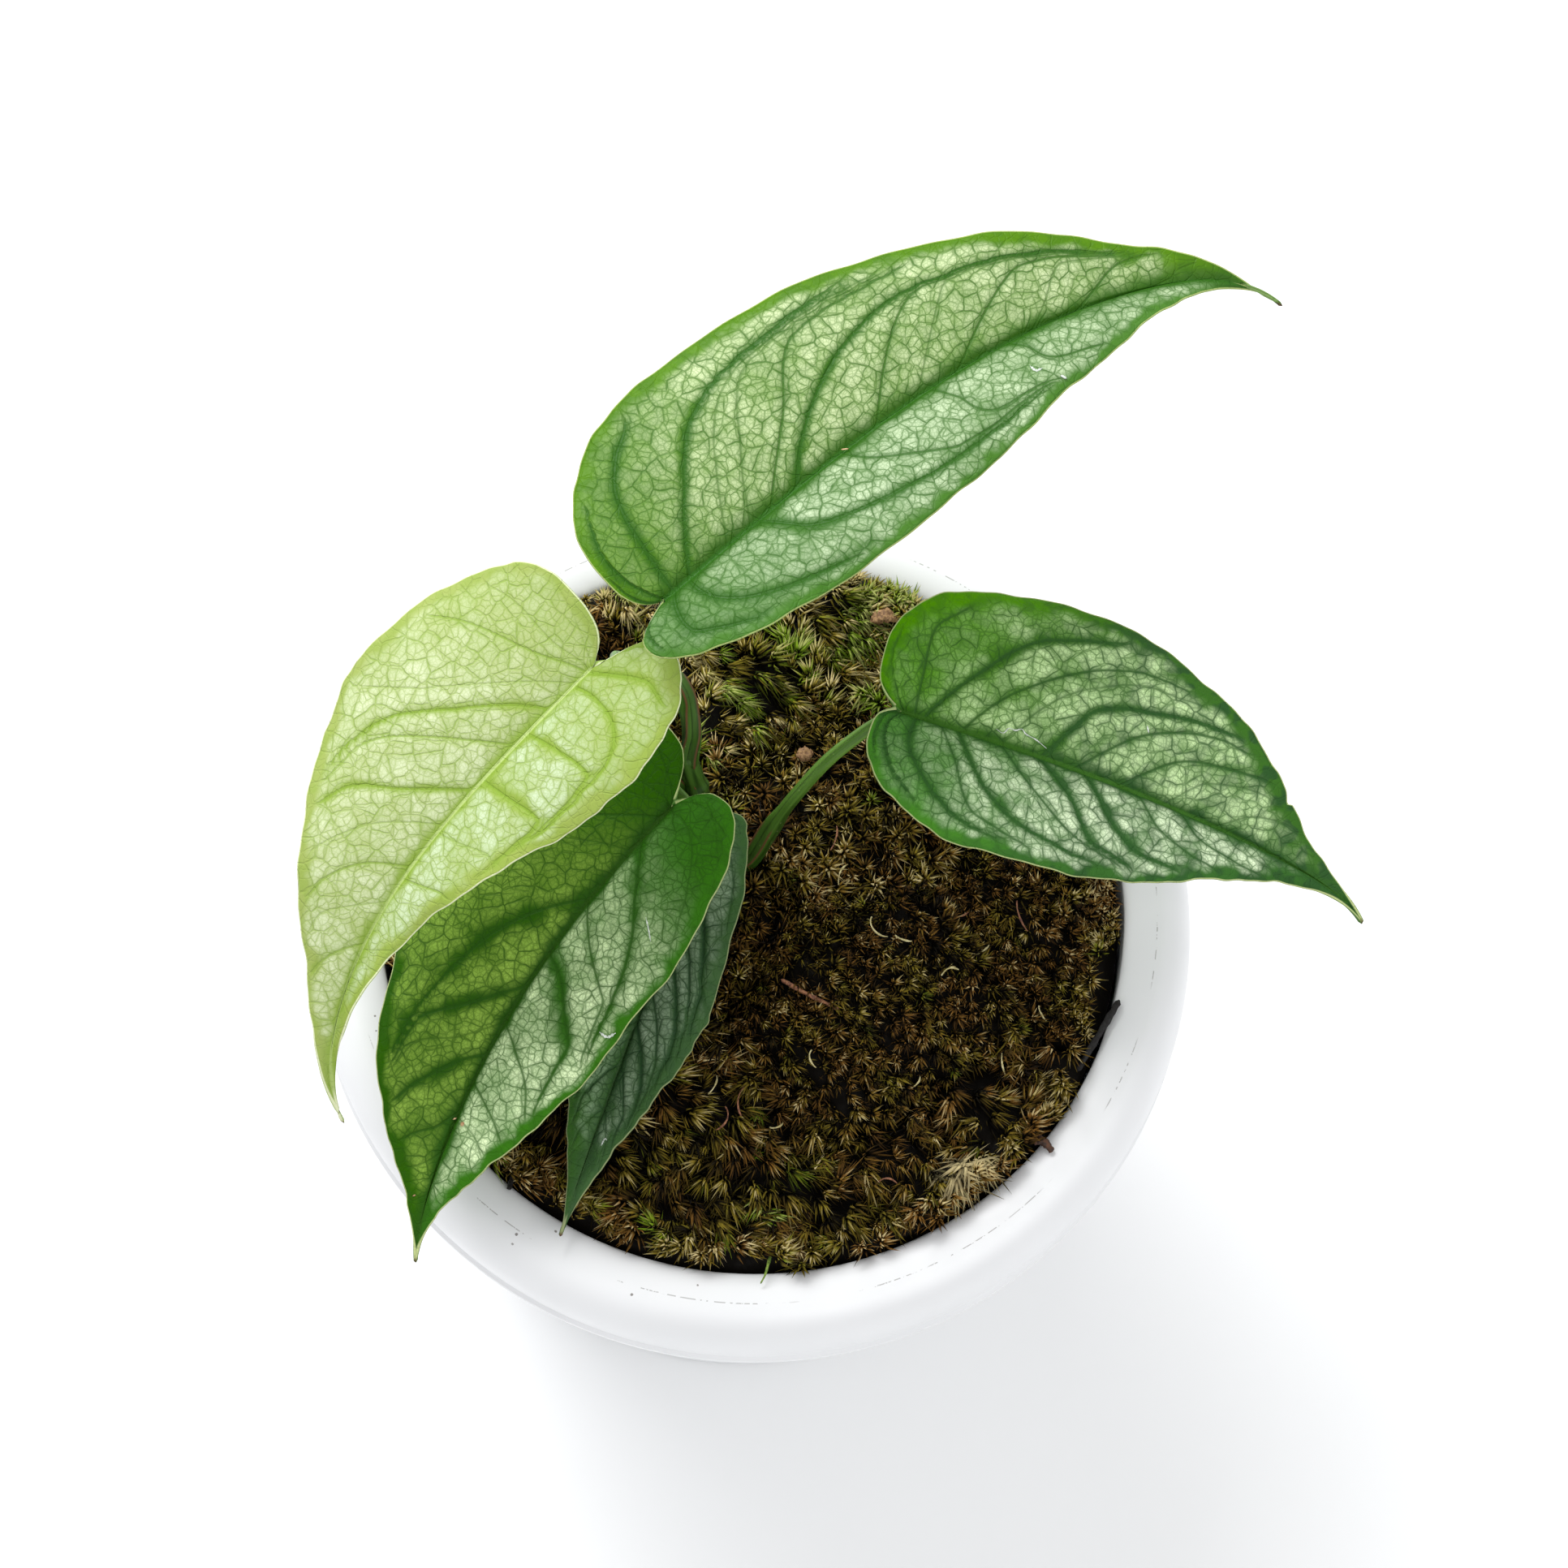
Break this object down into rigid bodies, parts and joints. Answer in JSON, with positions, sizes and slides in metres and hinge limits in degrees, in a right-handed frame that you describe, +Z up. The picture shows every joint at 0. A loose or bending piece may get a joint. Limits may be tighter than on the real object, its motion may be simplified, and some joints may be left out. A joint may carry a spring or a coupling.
{
  "type": "potted monstera siltepecana",
  "caption": "Juvenile climbing aroid with lobed, drip-tipped silver-veined leaves on arching stalks, growing from moss in a round plastic nursery pot.",
  "frame": {"origin": "centre of the pot's underside, on the surface it stands on", "axes": "+Z up along the pot's axis; the side seen nearest in the picture faces -Y, and +X is to its right"},
  "size_m": [0.1748, 0.1688, 0.203],
  "materials": {
    "pot_plastic": "satin",
    "bark_mix": "matte",
    "moss": "matte",
    "green_stem": "satin",
    "leaf_mid_green": "satin",
    "leaf_pale_green": "satin",
    "leaf_dark_green": "satin",
    "leaf_deep_green": "satin",
    "dead_wood": "matte"
  },
  "bodies": {
    "root": {"pot": "pot_plastic", "potting_mix": "bark_mix", "moss_cushion_1": "moss", "moss_cushion_2": "moss", "moss_cushion_3": "moss", "moss_cushion_4": "moss", "moss_cushion_5": "moss", "moss_cushion_6": "moss", "moss_cushion_7": "moss", "moss_cushion_8": "moss", "moss_cushion_9": "moss", "moss_cushion_10": "moss", "stem": "green_stem", "leaf_stalk_1": "green_stem", "leaf_blade_1": "leaf_mid_green", "leaf_stalk_2": "green_stem", "leaf_blade_2": "leaf_pale_green", "leaf_stalk_3": "green_stem", "leaf_blade_3": "leaf_dark_green", "leaf_stalk_4": "green_stem", "leaf_blade_4": "leaf_deep_green", "leaf_stalk_5": "green_stem", "leaf_blade_5": "leaf_dark_green", "bark_sliver_1": "dead_wood", "bark_sliver_2": "dead_wood", "twig": "dead_wood"}
  },
  "joints": []
}
